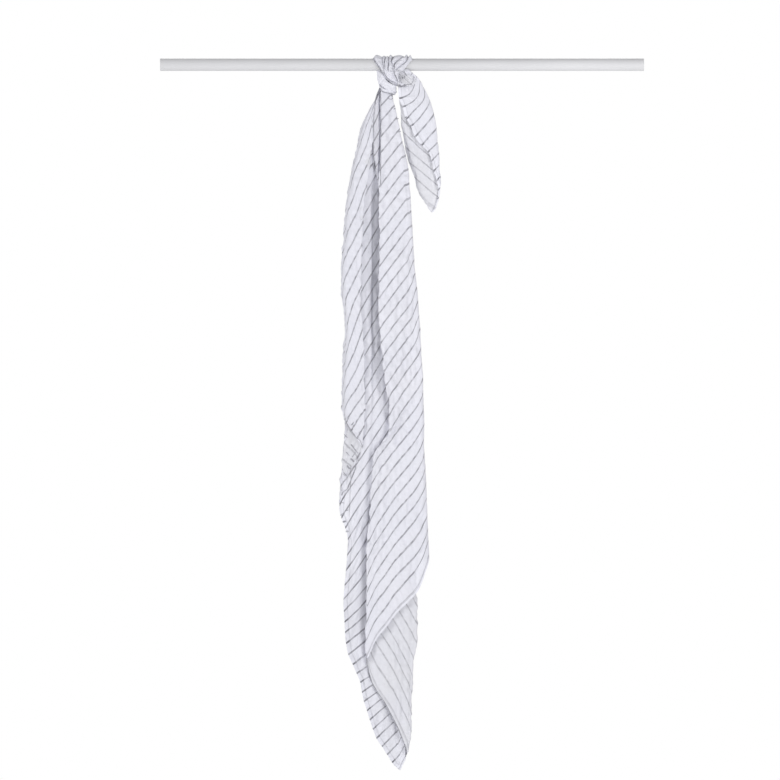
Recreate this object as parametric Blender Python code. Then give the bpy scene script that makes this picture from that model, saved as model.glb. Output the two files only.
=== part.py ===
"""Swaddle blanket on a rod: a square of thin muslin, tied by one corner with a half knot round a
horizontal rod, from which it hangs in folds.

Metres, +Z up. The origin is the centre of the rod's left end face. The rod runs along +X, and the
viewer looks along +Y, so "depth" below is measured away from the viewer. The tables give
millimetres: across is measured from the middle of the knot, drop downwards from the rod's axis.
"""

import math

import bmesh
import bpy
import numpy as np

MM = 0.001
ROD_DIAMETER = 0.020
ROD_LENGTH = 0.780
ROD_SIDES = 48
KNOT_AT = 0.374  # middle of the knot, from the rod's left end
ROD_GAP = 0.0006  # between the rod and the cloth that goes over it
CLOTH = 0.0010  # thickness of the cloth, crinkle included

# ---- the hanging cloth ---------------------------------------------------------------------------
# The cloth goes back and forth between these fold lines, from the hem that ends at the corner on
# the viewer's left to the hem that ends at the corner on the right. A row is one fold line:
#   before, after  depth of the layers that meet there, at full size
#   end            drop at which the line meets the cloth's lower hems
#   across         place of the line at each level of LEVELS
LEVELS = (50, 105, 185, 300, 410, 540, 620, 700, 790, 880, 960, 1040, 1140)
FOLDS = (
    # name          before after  end   across at each level
    ("left hem", 62, 62, 446, (-17, -30, -40, -46, -42)),
    ("back 5", 62, 57, 470, (-4, 2, 14, 18, 22, 24)),
    ("back 4", 57, 52, 488, (-20, -38, -54, -64, -60, -58)),
    ("back 3", 52, 47, 505, (-3, 6, 19, 26, 32, 34)),
    ("back 2", 47, 42, 525, (-24, -46, -62, -75, -71, -70)),
    ("back 1", 42, 37, 548, (-2, 8, 23, 31, 39, 44)),
    ("left outline", 36, -25, 572, (-26, -51, -69, -82, -78, -80)),
    ("light edge", -26, -19, 617, (-22, -31, -39, -49, -49, -48, -47)),
    ("left inner", -16, -10, 691, (-23, -43, -62, -75, -72, -75, -79, -81)),
    ("hem 1", -10, -10, 722, (-22, -39, -56, -67, -65, -67, -70, -77, -90)),
    ("hem 2", -9, -9, 833, (-20, -34, -49, -58, -57, -58, -62, -69, -74, -76)),
    ("hem 3", -6, -6, 926, (-18, -28, -41, -49, -47, -47, -50, -57, -65, -71, -74)),
    ("hem 4", -3, -3, 1014, (-16, -23, -33, -38, -36, -34, -37, -43, -50, -55, -53, -47)),
    ("valley", 0, 0, 1102, (-14, -18, -26, -29, -28, -24, -25, -30, -34, -36, -34, -27, -9)),
    ("bottom corner", -6, -6, 1139, (-10, -10, -10, -8, -5, -2, -4, -8, -10, -8, -3, 4, 13)),
    ("right inner", -12, -18, 1115, (-2, 6, 20, 26, 34, 40, 41, 41, 40, 39, 37, 32, 22)),
    ("front edge", -22, -29, 960, (-19, -18, -20, -20, -20, -6, -19, -36, -41, -41, -40)),
    ("right outline", -30, 5, 789, (1, 14, 29, 36, 46, 52, 54, 58, 63)),
    ("back 6", 6, 11, 768, (-22, -41, -57, -70, -67, -66, -68, -68, -66)),
    ("back 7", 11, 16, 742, (-1, 9, 22, 30, 38, 43, 45, 46, 46)),
    ("back 8", 16, 21, 720, (-19, -35, -50, -60, -56, -54, -55, -55, -55)),
    ("back 9", 21, 26, 700, (-2, 7, 18, 24, 28, 34, 36, 37)),
    ("back 10", 26, 30, 682, (-17, -28, -40, -48, -44, -40, -40, -40)),
    ("right hem", 30, 30, 665, (0, 10, 22, 24, 26, 22, 20, 20)),
)
# How much of its full depth the bundle of layers has, and how far it sits behind the rod's axis.
BUNDLE = (
    # drop  share  behind
    (36, 0.34, -3),
    (50, 0.39, -4),
    (105, 0.53, -6),
    (185, 0.74, -8),
    (300, 0.94, -12),
    (410, 1.00, -14),
    (700, 1.00, -4),
    (960, 0.90, 8),
    (1140, 0.70, 12),
)
HANG_TOP = 36  # drop at which the layers come out of the knot
HANG_ROWS = 18
ROLL_SHARES = (0.22, 0.78)  # places round a fold, between the depths of its two layers
LAYER_SHARES = (0.10, 0.50, 0.90)  # places across a layer, between its two folds
WAVE_DEPTH, WAVE_ACROSS, WAVE_DROP = 2.4, 90.0, 540.0  # slow waves that all layers share

# ---- the free corner -------------------------------------------------------------------------------
# The short end beyond the knot: four layers, from one hem by three folds to the other hem.
TAIL_DEPTHS = (-14, -9, -3, 3)
TAIL = (
    # drop  front hem  right fold  left fold  inner fold  back hem
    (14, 10, 29, 8, 26, 11),
    (24, 11, 44, 9, 38, 14),
    (36, 12, 52, 10, 45, 18),
    (54, 11, 61, 11, 54, 19),
    (74, 17, 67, 14, 59, 23),
    (98, 29, 73, 15, 62, 29),
    (122, 42, 75, 17, 63, 35),
    (146, 60, 77, 23, 63, 42),
    (170, 67, 78, 32, 65, 45),
    (194, 73, 77, 38, 64, 47),
    (214, 73, 76, 48, 67, 53),
    (230, 67, 71, 58, 66, 61),
    (238, 64, 66.5, 61, 65.2, 62.6),
)
TAIL_ROWS = 12

# ---- the knot ----------------------------------------------------------------------------------------
# The gathered band that goes over the rod, from behind it to the front, lower right.
SADDLE = (
    # turn  drop offset  middle  width   (turn 0 is behind the rod, 90 over it, 180 in front of it)
    (-50, 8, -6, 34),
    (0, 0, -2, 50),
    (50, 0, 0, 60),
    (90, 0, 0, 63),
    (130, 0, 0, 62),
    (180, 0, 0, 58),
    (228, 9, 5, 40),
)
SADDLE_THICK = 4.6
SADDLE_PLEATS, PLEAT_DEPTH = 6, 1.1
# The bundle's turn round its own top, one closed band, and the gathered core inside it.
WRAP_MIDDLE, WRAP_DROP, WRAP_TILT = -10.0, 32.0, 7.0
WRAP_ACROSS, WRAP_DEPTH, WRAP_HEIGHT, WRAP_THICK = 12.0, 14.5, 8.5, 5.0
WRAP_PLEATS, WRAP_PLEAT = 5, 0.09
# Ovals, one above the other: drop, middle, half width, behind the rod's axis, half depth.
CORE = ((13, 0, 20, 0, 13), (22, -3, 19, 1, 14), (34, -9, 15, 2, 14), (44, -11, 13, 2, 12))
TAIL_ROOT = ((13, 20, 9, -5, 8), (19, 20, 12, -5, 9), (27, 14, 12, -4, 10), (33, 8, 10, -3, 9))


def curve_at(places, values, at):
    """A smooth curve through the values given at the places, read at other places."""
    x, y, at = (np.asarray(v, float) for v in (places, values, at))
    slope = np.gradient(y, x)
    i = np.clip(np.searchsorted(x, at, side="right") - 1, 0, len(x) - 2)
    step = x[i + 1] - x[i]
    t = np.clip((at - x[i]) / step, 0, 1)
    start, end = y[i], y[i + 1]
    return (
        start * (1 + 2 * t) * (1 - t) ** 2
        + step * slope[i] * t * (1 - t) ** 2
        + end * t**2 * (3 - 2 * t)
        - step * slope[i + 1] * t**2 * (1 - t)
    )


def material(name, colour, roughness, metallic):
    made = bpy.data.materials.new(name)
    made.use_nodes = True
    shader = made.node_tree.nodes["Principled BSDF"]
    shader.inputs["Base Color"].default_value = (*colour, 1)
    shader.inputs["Roughness"].default_value = roughness
    shader.inputs["Metallic"].default_value = metallic
    return made


def add_object(name, points, faces, finish=None):
    mesh = bpy.data.meshes.new(name)
    mesh.from_pydata([tuple(p) for p in points], [], faces)
    work = bmesh.new()
    work.from_mesh(mesh)
    bmesh.ops.recalc_face_normals(work, faces=work.faces)
    work.to_mesh(mesh)
    work.free()
    obj = bpy.data.objects.new(name, mesh)
    bpy.context.collection.objects.link(obj)
    if finish:
        mesh.materials.append(finish)
        mesh.shade_smooth()
    else:
        obj.hide_render = True
        obj.display_type = "WIRE"
    return obj


def world(across, depth, drop):
    """Metres in the object's frame from millimetres across, behind the rod's axis and down."""
    return np.stack([KNOT_AT + across * MM, depth * MM, -drop * MM], axis=-1)


def grid_faces(rows, columns, start=0):
    return [
        (start + r * columns + c, start + r * columns + c + 1,
         start + (r + 1) * columns + c + 1, start + (r + 1) * columns + c)
        for r in range(rows - 1)
        for c in range(columns - 1)
    ]


def directions(points, axis):
    """Unit direction at each point of a grid: the mean of those to the points before and after."""
    step = np.diff(points, axis=axis)
    step /= np.linalg.norm(step, axis=2, keepdims=True) + 1e-12
    first, last = np.take(step, [0], axis), np.take(step, [-1], axis)
    both = np.concatenate([first, step], axis) + np.concatenate([step, last], axis)
    return both / (np.linalg.norm(both, axis=2, keepdims=True) + 1e-12)


def sheet_mesh(points, thickness):
    """A closed solid of even thickness round a grid of points, from its vertex normals."""
    rows, columns = points.shape[:2]
    normal = np.cross(directions(points, 1), directions(points, 0))
    normal /= np.linalg.norm(normal, axis=2, keepdims=True) + 1e-12
    half = np.broadcast_to(thickness, (rows, columns))[..., None] / 2
    both = np.concatenate([(points + normal * half), (points - normal * half)]).reshape(-1, 3)
    first = grid_faces(rows, columns)
    other = [tuple(reversed(face)) for face in grid_faces(rows, columns, rows * columns)]
    ring = (
        list(range(columns))
        + [r * columns + columns - 1 for r in range(1, rows)]
        + [(rows - 1) * columns + c for c in range(columns - 2, -1, -1)]
        + [r * columns for r in range(rows - 2, 0, -1)]
    )
    far = rows * columns
    rim = [
        (ring[i], ring[(i + 1) % len(ring)], ring[(i + 1) % len(ring)] + far, ring[i] + far)
        for i in range(len(ring))
    ]
    return both, first + other + rim


def rod(finish):
    """The plain rod: a closed cylinder along X, with flat ends."""
    turn = np.arange(ROD_SIDES) * 2 * math.pi / ROD_SIDES
    ends = [
        np.stack([np.full(ROD_SIDES, x), np.cos(turn), np.sin(turn)], axis=1)
        * (1, ROD_DIAMETER / 2, ROD_DIAMETER / 2)
        for x in (0.0, ROD_LENGTH)
    ]
    count = range(ROD_SIDES)
    sides = [(i, (i + 1) % ROD_SIDES, (i + 1) % ROD_SIDES + ROD_SIDES, i + ROD_SIDES) for i in count]
    caps = [tuple(count), tuple(i + ROD_SIDES for i in count)]
    made = add_object("rod", np.concatenate(ends), sides + caps, finish)
    made.data.set_sharp_from_angle(angle=math.radians(40))
    return made


def hang_columns():
    """The stations across the cloth: (fold, next fold, share between them, depth, depth there)."""
    columns = []
    for i, (_, before, after, _, _) in enumerate(FOLDS):
        if before != after:
            columns += [(i, i, 0.0, before + (after - before) * s) for s in ROLL_SHARES]
        else:
            columns.append((i, i, 0.0, after))
        if i + 1 < len(FOLDS):
            soft = before == after or FOLDS[i + 1][1] == FOLDS[i + 1][2]
            shares = LAYER_SHARES if not soft or i == 0 or i + 2 == len(FOLDS) else (0.5,)
            ahead = FOLDS[i + 1][1]
            columns += [(i, i + 1, s, after + (ahead - after) * s) for s in shares]
    return columns


def fold_across(index, drop):
    """Place of one fold line at these drops, drawn together above its first level."""
    places = FOLDS[index][4]
    at = curve_at(LEVELS[: len(places)], places, np.clip(drop, LEVELS[0], LEVELS[len(places) - 1]))
    pinch = np.clip((LEVELS[0] - drop) / LEVELS[0], 0, 1)
    return at + (WRAP_MIDDLE - at) * pinch


def hanging_cloth():
    """The pleated sheet below the knot: each column runs from the knot down to the lower hem."""
    columns = hang_columns()
    down = np.linspace(0, 1, HANG_ROWS)
    grid = np.empty((HANG_ROWS, len(columns), 3))
    drops, shares, behinds = (np.array(v, float) for v in zip(*BUNDLE))
    for c, (fold, ahead, share, depth) in enumerate(columns):
        end = FOLDS[fold][3] * (1 - share) + FOLDS[ahead][3] * share
        drop = HANG_TOP + (end - HANG_TOP) * down
        across = fold_across(fold, drop) * (1 - share) + fold_across(ahead, drop) * share
        full = np.interp(drop, drops, shares)
        wave = WAVE_DEPTH * np.sin(2 * math.pi * (across / WAVE_ACROSS + drop / WAVE_DROP))
        place = depth * full + np.interp(drop, drops, behinds) + wave * np.clip(drop / 300, 0, 1)
        grid[:, c] = world(across, place, drop)
    return sheet_mesh(grid, CLOTH)


def free_corner():
    """The short end: four layers from the knot down to the tip, narrowing to the cloth's corner."""
    table = np.array(TAIL, float)
    drop = np.linspace(table[0, 0], table[-1, 0], TAIL_ROWS)
    lines = [curve_at(table[:, 0], table[:, i], drop) for i in range(1, table.shape[1])]
    near_tip = np.clip((table[-1, 0] - drop) / 60, 0.36, 1)
    near_knot = np.clip((drop - table[0, 0]) / 60, 0.36, 1)
    places = []
    for layer, depth in enumerate(TAIL_DEPTHS):
        start, end = lines[layer], lines[layer + 1]
        for share in (0.0, 0.12, 0.5, 0.88, 1.0):
            here = depth
            if share == 0.0 and layer:
                here = depth * 0.75 + TAIL_DEPTHS[layer - 1] * 0.25
            if share == 1.0 and layer + 1 < len(TAIL_DEPTHS):
                here = depth * 0.75 + TAIL_DEPTHS[layer + 1] * 0.25
            middle = sum(TAIL_DEPTHS) / len(TAIL_DEPTHS)
            full = np.minimum(near_tip, near_knot)
            places.append(world(start + (end - start) * share, middle + (here - middle) * full, drop))
    return sheet_mesh(np.stack(places, axis=1), CLOTH)


def saddle():
    """The pleated band over the rod, its inner face following the rod at a small gap."""
    table = np.array(SADDLE, float)
    turn = np.linspace(table[0, 0], table[-1, 0], 11)
    offset, middle, width = (curve_at(table[:, 0], table[:, i], turn) for i in (1, 2, 3))
    across = np.linspace(-0.5, 0.5, 4 * SADDLE_PLEATS + 1)
    angle = np.radians(turn)[:, None]
    sunk = np.clip(1 - (2 * np.abs(across)) ** 6, 0.25, 1)
    ridge = PLEAT_DEPTH * np.cos(2 * math.pi * SADDLE_PLEATS * across) * sunk
    inner = ROD_DIAMETER / 2 / MM / math.cos(math.pi / ROD_SIDES) + ROD_GAP / MM
    shell = []
    for radius in (inner + SADDLE_THICK * sunk + ridge, inner + 0.0 * across):
        shell.append(
            world(
                middle[:, None] + width[:, None] * across,
                radius * np.cos(angle),
                offset[:, None] - radius * np.sin(angle),
            )
        )
    rows, columns = shell[0].shape[:2]
    points = np.concatenate(shell).reshape(-1, 3)
    _, faces = sheet_mesh(shell[0], 1.0)
    return points, faces


def ovals(table, sides=20):
    """A closed body through level ovals."""
    turn = np.arange(sides) * 2 * math.pi / sides
    rings = [
        world(middle + half * np.cos(turn), behind + deep * np.sin(turn), np.full(sides, drop))
        for drop, middle, half, behind, deep in (map(float, row) for row in table)
    ]
    faces = [
        (r * sides + i, r * sides + (i + 1) % sides, (r + 1) * sides + (i + 1) % sides, (r + 1) * sides + i)
        for r in range(len(rings) - 1)
        for i in range(sides)
    ]
    last = (len(rings) - 1) * sides
    faces += [tuple(range(sides)), tuple(last + i for i in range(sides))]
    return np.concatenate(rings), faces


def wrap(sides=26, round_sides=8):
    """The closed band round the top of the bundle, lower at the front right, with soft pleats."""
    turn = (np.arange(sides) * 2 * math.pi / sides)[:, None]
    round_turn = (np.arange(round_sides) * 2 * math.pi / round_sides)[None, :]
    swell = 1 + WRAP_PLEAT * np.cos(WRAP_PLEATS * round_turn + turn)
    out = WRAP_THICK * np.cos(round_turn) * swell
    across = WRAP_MIDDLE + (WRAP_ACROSS + out) * np.cos(turn)
    depth = 2 + (WRAP_DEPTH + out) * np.sin(turn)
    tilt = WRAP_TILT * np.cos(turn) * -np.sign(np.sin(turn)) * np.abs(np.sin(turn))
    drop = WRAP_DROP + tilt + WRAP_HEIGHT * np.sin(round_turn) * swell
    points = world(across, depth, drop).reshape(-1, 3)
    faces = [
        (
            a * round_sides + b,
            a * round_sides + (b + 1) % round_sides,
            (a + 1) % sides * round_sides + (b + 1) % round_sides,
            (a + 1) % sides * round_sides + b,
        )
        for a in range(sides)
        for b in range(round_sides)
    ]
    return points, faces


def blanket(finish):
    """One cloth: the knot's gathered forms with the hanging cloth and the free corner."""
    made = add_object("swaddle_blanket", *hanging_cloth(), finish)
    forms = {
        "knot_core": ovals(CORE),
        "knot_tail_root": ovals(TAIL_ROOT),
        "knot_wrap": wrap(),
        "knot_saddle": saddle(),
        "free_corner": free_corner(),
    }
    for name, (points, faces) in forms.items():
        join = made.modifiers.new(name, "BOOLEAN")
        join.operation = "UNION"
        join.object = add_object(name, points, faces)
    return made


for old in list(bpy.data.objects):
    bpy.data.objects.remove(old)
rod(material("rod", (0.72, 0.73, 0.75), 0.35, 0.0))
blanket(material("muslin", (0.80, 0.79, 0.83), 0.9, 0.0))
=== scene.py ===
from functools import partial
import math

import bpy
import numpy as np
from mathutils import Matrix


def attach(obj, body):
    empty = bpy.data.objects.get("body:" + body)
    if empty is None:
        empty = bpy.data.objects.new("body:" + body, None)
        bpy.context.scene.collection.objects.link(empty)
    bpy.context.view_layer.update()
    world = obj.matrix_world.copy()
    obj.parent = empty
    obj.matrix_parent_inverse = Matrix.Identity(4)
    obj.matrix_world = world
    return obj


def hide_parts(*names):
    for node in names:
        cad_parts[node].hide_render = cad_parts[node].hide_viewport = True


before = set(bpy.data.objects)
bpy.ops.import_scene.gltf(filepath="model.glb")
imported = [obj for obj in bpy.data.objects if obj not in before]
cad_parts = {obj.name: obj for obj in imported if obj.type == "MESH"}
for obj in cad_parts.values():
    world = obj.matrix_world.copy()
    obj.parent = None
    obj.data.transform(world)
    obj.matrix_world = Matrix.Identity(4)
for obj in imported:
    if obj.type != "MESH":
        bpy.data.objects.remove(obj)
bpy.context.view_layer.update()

# Millimetres here: across from the middle of the knot, depth behind the rod's axis, drop below it.
# On the cloth, along and over are the distances from the two hems that meet in the free corner.
# The stripes run at a constant over.
clothSide = 1200.0
knotAt = 0.374


# Metres in the row frame from millimetres across, behind the rod's axis and below it.
def place(across, depth, drop):
    across, depth, drop = np.broadcast_arrays(across, depth, drop)
    return np.stack([knotAt + across / 1000, depth / 1000, -drop / 1000], axis=-1)


# A smooth curve through one column of a table whose first column says where: a cubic between two
# rows, whose slopes come from the rows beside them.
def smoothCurve(table, at, column=1):
    table = np.array(table, float)
    x, y, at = table[:, 0], table[:, column], np.asarray(at, float)
    slope = np.gradient(y, x)
    i = np.clip(np.searchsorted(x, at, side="right") - 1, 0, len(x) - 2)
    step = x[i + 1] - x[i]
    t = np.clip((at - x[i]) / step, 0, 1)
    return (
        y[i] * (1 + 2 * t) * (1 - t) ** 2 + step * slope[i] * t * (1 - t) ** 2
        + y[i + 1] * t ** 2 * (3 - 2 * t) - step * slope[i + 1] * t ** 2 * (1 - t)
    )


# 0 below low, 1 above high, and 3t squared minus 2t cubed between.
def ease(low, high, at):
    t = np.clip((np.asarray(at, float) - low) / (high - low), 0, 1)
    return t * t * (3 - 2 * t)


# The mean of plane waves in seeded directions and lengths, scaled to a spread of about 1.
def ripples(a, b, shortest, longest, seed, waves=14):
    random = np.random.default_rng(seed)
    total = np.zeros(np.broadcast(a, b).shape)
    for turn, size, phase in random.random((waves, 3)):
        length = shortest * (longest / shortest) ** size
        way = math.pi * turn
        total += np.sin(2 * math.pi * ((a * math.cos(way) + b * math.sin(way)) / length + phase))
    return total * math.sqrt(2 / waves)


# Distance from every point to a broken line of (across, drop) points, seen from the front.
def awayFrom(line, across, drop):
    best = np.full(np.broadcast(across, drop).shape, np.inf)
    for (x0, z0), (x1, z1) in zip(line[:-1], line[1:]):
        dx, dz = x1 - x0, z1 - z0
        t = np.clip(((across - x0) * dx + (drop - z0) * dz) / (dx * dx + dz * dz), 0, 1)
        best = np.minimum(best, np.hypot(across - x0 - t * dx, drop - z0 - t * dz))
    return best


# Moves each point towards the mean of its two neighbours, a half of the way at each pass.
def blur(grid, passes, mask=1.0, axis=1):
    grid = np.moveaxis(grid, axis, 0)
    mask = np.moveaxis(np.broadcast_to(mask, np.moveaxis(grid, 0, axis).shape), axis, 0)[1:-1]
    for _ in range(passes):
        middle = (grid[:-2] + grid[2:]) / 2
        grid = np.concatenate([grid[:1], grid[1:-1] + (middle - grid[1:-1]) * 0.5 * mask, grid[-1:]])
    return np.moveaxis(grid, 0, axis)


# Blurs across the columns, and gives the folds most of their reach back: 2 B minus B of B.
def roundFolds(grid, passes):
    once = blur(grid, passes)
    return 2 * once - blur(once, passes)


# Every column of a table at evenly spaced places from its first row to its last.
def alongTable(table, rows):
    table = np.column_stack([np.arange(len(table)), np.array(table, float)])
    go = np.linspace(0, len(table) - 1, rows)
    return go, np.stack([smoothCurve(table, go, k) for k in range(1, table.shape[1])], 1)


# Unit normal of a grid of points: the cross product of its two directions.
def normals(points):
    normal = np.cross(np.gradient(points, axis=0), np.gradient(points, axis=1))
    return normal / (np.linalg.norm(normal, axis=2, keepdims=True) + 1e-15)


# Where points lie on the flat cloth, kept within it.
def flatPlace(along, over):
    return np.clip(np.stack([along, over], -1), 0, clothSide)


def newObject(name, data):
    made = bpy.data.objects.new(name, data)
    bpy.context.scene.collection.objects.link(made)
    return made


# One mesh from grids of points with their flat places (along, over) as its UV map.
def gridPiece(name, grids, material):
    points = np.concatenate([grid.reshape(-1, 3) for grid, _ in grids])
    flats = np.concatenate([flat.reshape(-1, 2) for _, flat in grids])
    quads, start = [], 0
    for grid, _ in grids:
        index = start + np.arange(grid[..., 0].size).reshape(grid.shape[:2])
        corners = index[:-1, :-1], index[1:, :-1], index[1:, 1:], index[:-1, 1:]
        quads.append(np.stack(corners, -1).reshape(-1, 4))
        start += index.size
    quads = np.concatenate(quads)
    mesh = bpy.data.meshes.new(name)
    mesh.vertices.add(len(points))
    mesh.loops.add(quads.size)
    mesh.polygons.add(len(quads))
    mesh.vertices.foreach_set("co", points.ravel())
    mesh.loops.foreach_set("vertex_index", quads.ravel())
    mesh.polygons.foreach_set("loop_start", np.arange(0, quads.size, 4))
    mesh.update(calc_edges=True)
    mesh.uv_layers.new(name="flat").data.foreach_set("uv", (flats[quads.ravel()] / clothSide).ravel())
    mesh.shade_smooth()
    mesh.validate()
    piece = newObject(name, mesh)
    mesh.materials.append(material)
    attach(piece, "root")
    print(name, "has", len(quads), "faces")
    return piece


# Sets the inputs of a node to a value each, or links them from another node's output.
def setInputs(tree, node, inputs):
    for name, value in inputs.items():
        if isinstance(value, bpy.types.NodeSocket):
            tree.links.new(value, node.inputs[name])
        else:
            node.inputs[name].default_value = value


# A node with its settings first, because some of them make its inputs.
def addNode(tree, kind, inputs=None, **settings):
    made = tree.nodes.new("ShaderNode" + kind)
    for name, value in settings.items():
        setattr(made, name, value)
    setInputs(tree, made, inputs or {})
    return made


def newMaterial(name):
    material = bpy.data.materials.new(name)
    material.use_nodes = True
    return material, material.node_tree, material.node_tree.nodes["Principled BSDF"]


def maths(tree, operation, *values, clamp=False):
    inputs = dict(enumerate(values))
    return addNode(tree, "Math", inputs, operation=operation, use_clamp=clamp).outputs[0]


# toLow at low and toHigh at high, smooth between.
def ramp(tree, value, low, high, toLow=0.0, toHigh=1.0):
    made = addNode(tree, "MapRange", {"Value": value, "From Min": low, "From Max": high,
                   "To Min": toLow, "To Max": toHigh}, interpolation_type="SMOOTHSTEP")
    return made.outputs["Result"]


def mixColour(tree, share, first, second):
    made = addNode(tree, "Mix", {0: share, 6: first, 7: second}, data_type="RGBA")
    return made.outputs[2]


def noise(tree, where, scale, detail=3.0, **more):
    inputs = {"Vector": where, "Scale": scale, "Detail": detail, **more}
    return addNode(tree, "TexNoise", inputs).outputs["Fac"]


# Uneven tone and a fine grain for any finish: a broad and a small noise on a position.
def mottleGroup():
    group = bpy.data.node_groups.new("mottle", "ShaderNodeTree")
    for name, way, kind in (("Position", "INPUT", "Vector"), ("Broad", "INPUT", "Float"),
                            ("Fine", "INPUT", "Float"), ("Tone", "OUTPUT", "Float"),
                            ("Grain", "OUTPUT", "Float")):
        group.interface.new_socket(name, in_out=way, socket_type="NodeSocket" + kind)
    given = group.nodes.new("NodeGroupInput").outputs
    result = group.nodes.new("NodeGroupOutput")
    setInputs(group, result, {"Tone": noise(group, given["Position"], given["Broad"]),
                              "Grain": noise(group, given["Position"], given["Fine"], 2.0)})
    return group


muslinLook = {
    "cloth": (0.85, 0.85, 0.92),
    "reverse": (0.80, 0.80, 0.845),
    "shade": (0.78, 0.79, 0.88),  # in uneven patches
    "seam": (0.45, 0.45, 0.50),
    "stripe": (0.18, 0.18, 0.205),
    "stripeEvery": 16.1,  # mm, from one stripe to the next
    "firstStripe": 4.0,  # from the hem
    "stripeWidth": 2.4,
    "stripeWander": 0.5,
    "hemWidth": 6.5,
    "weaveEvery": 1.5,
    "sheer": 0.94,  # alpha of a single layer
    "crinkleHeight": 1.6,  # for the bump, as are the next three
    "puckerHeight": 0.5,
    "threadHeight": 0.025,
    "hemHeight": 0.5,
}


def muslinMaterial(mottle):
    look = muslinLook
    material, tree, shader = newMaterial("stripedMuslin")
    calc = partial(maths, tree)
    flat = addNode(tree, "UVMap", uv_map="flat").outputs["UV"]
    size = addNode(tree, "VectorMath", {0: flat, 3: clothSide}, operation="SCALE")
    size = size.outputs["Vector"]
    parts = addNode(tree, "SeparateXYZ", {0: size}).outputs
    along, over = parts["X"], parts["Y"]

    # A stripe wanders and breaks up where the crinkles pull it.
    wander = noise(tree, size, 0.055, Roughness=0.6)
    offset = calc("MULTIPLY_ADD", calc("SUBTRACT", wander, 0.5), 4 * look["stripeWander"], over)
    turn = calc("FRACT", calc("MULTIPLY_ADD", offset, 1 / look["stripeEvery"],
                              0.5 - look["firstStripe"] / look["stripeEvery"]))
    away = calc("MULTIPLY", calc("ABSOLUTE", calc("SUBTRACT", turn, 0.5)), look["stripeEvery"])
    strength = ramp(tree, noise(tree, size, 0.11, 2.0), 0.32, 0.66, 0.55, 1.0)

    # Distance from the nearest hem, and the doubled cloth there.
    beside = calc("MINIMUM", over, calc("SUBTRACT", clothSide, over))
    nearest = calc("MINIMUM", calc("MINIMUM", along, calc("SUBTRACT", clothSide, along)), beside)
    hem = ramp(tree, nearest, look["hemWidth"] - 0.8, look["hemWidth"] + 0.4, 1.0, 0.0)
    within = calc("SUBTRACT", away, calc("MULTIPLY", hem, 0.15))
    line = ramp(tree, within, look["stripeWidth"] * 0.28, look["stripeWidth"] * 0.72, 1.0, 0.0)
    seam = calc("MULTIPLY", hem, ramp(tree, nearest, look["hemWidth"] - 2.2, look["hemWidth"] - 1.0))

    # A stripe is fainter on the reverse and beside a hem along it, and stronger where a hem crosses.
    back = addNode(tree, "NewGeometry").outputs["Backfacing"]
    for where, *limits in ((back, 0.0, 1.0, 0.80, 0.55), (hem, 0.0, 1.0, 1.0, 1.3),
                           (beside, 5.5, 8.5, 0.4, 1.0)):
        strength = calc("MULTIPLY", strength, ramp(tree, where, *limits), clamp=True)
    tone = addNode(tree, "Group", {"Position": size, "Broad": 0.012, "Fine": 0.35}, node_tree=mottle)
    colour = mixColour(tree, back, (*look["cloth"], 1), (*look["reverse"], 1))
    for name, share in (("shade", ramp(tree, tone.outputs["Tone"], 0.25, 0.75, 0.0, 0.35)),
                        ("seam", calc("MULTIPLY", seam, 0.3)),
                        ("stripe", calc("MULTIPLY", line, strength))):
        colour = mixColour(tree, share, colour, (*look[name], 1))

    # Crinkle, weave and hem stand up from the cloth.
    crinkle = noise(tree, size, 0.16, Roughness=0.55, Distortion=0.4)
    pucker = addNode(tree, "TexVoronoi", {"Vector": size, "Scale": 0.13},
                     feature="SMOOTH_F1").outputs["Distance"]
    threads = calc("ADD", *(calc("SINE", calc("MULTIPLY", way, math.tau / look["weaveEvery"]))
                            for way in (along, over)))
    height = calc("MULTIPLY", crinkle, look["crinkleHeight"])
    for name, part in (("puckerHeight", pucker), ("threadHeight", threads), ("hemHeight", hem)):
        height = calc("ADD", height, calc("MULTIPLY", part, look[name]))
    bump = addNode(tree, "Bump", {"Height": height, "Strength": 0.8, "Distance": 0.0011})

    # Sheer where the cloth is single, closed where it is doubled at the hem or woven in grey.
    thick = calc("MAXIMUM", hem, calc("MULTIPLY", line, 0.8))
    setInputs(tree, shader, {
        "Base Color": colour, "Normal": bump.outputs["Normal"],
        "Alpha": ramp(tree, thick, 0.0, 1.0, look["sheer"], 1.0),
        "Roughness": 0.88, "Sheen Weight": 0.15, "Sheen Roughness": 0.5, "Specular IOR Level": 0.25})
    return material


rodLook = {"paint": (0.72, 0.72, 0.74), "shade": (0.67, 0.67, 0.69), "roughness": 0.36}


# Satin paint: a faint unevenness of tone and gloss, drawn out along the rod.
def rodMaterial(mottle):
    look = rodLook
    material, tree, shader = newMaterial("rodPaint")
    where = addNode(tree, "TexCoord").outputs["Object"]
    drawn = addNode(tree, "Mapping", {"Vector": where, "Scale": (0.12, 1.0, 1.0)})
    drawn = drawn.outputs["Vector"]
    tone = addNode(tree, "Group", {"Position": drawn, "Broad": 30.0, "Fine": 900.0},
                   node_tree=mottle).outputs
    colour = mixColour(tree, ramp(tree, tone["Tone"], 0.3, 0.7), (*look["paint"], 1), (*look["shade"], 1))
    rough = ramp(tree, tone["Grain"], 0.3, 0.7, look["roughness"] - 0.05, look["roughness"] + 0.08)
    bump = addNode(tree, "Bump", {"Height": tone["Grain"], "Strength": 0.08, "Distance": 0.0003})
    setInputs(tree, shader, {"Base Color": colour, "Roughness": rough, "Coat Weight": 0.2,
                             "Coat Roughness": 0.25, "Normal": bump.outputs["Normal"]})
    return material


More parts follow.
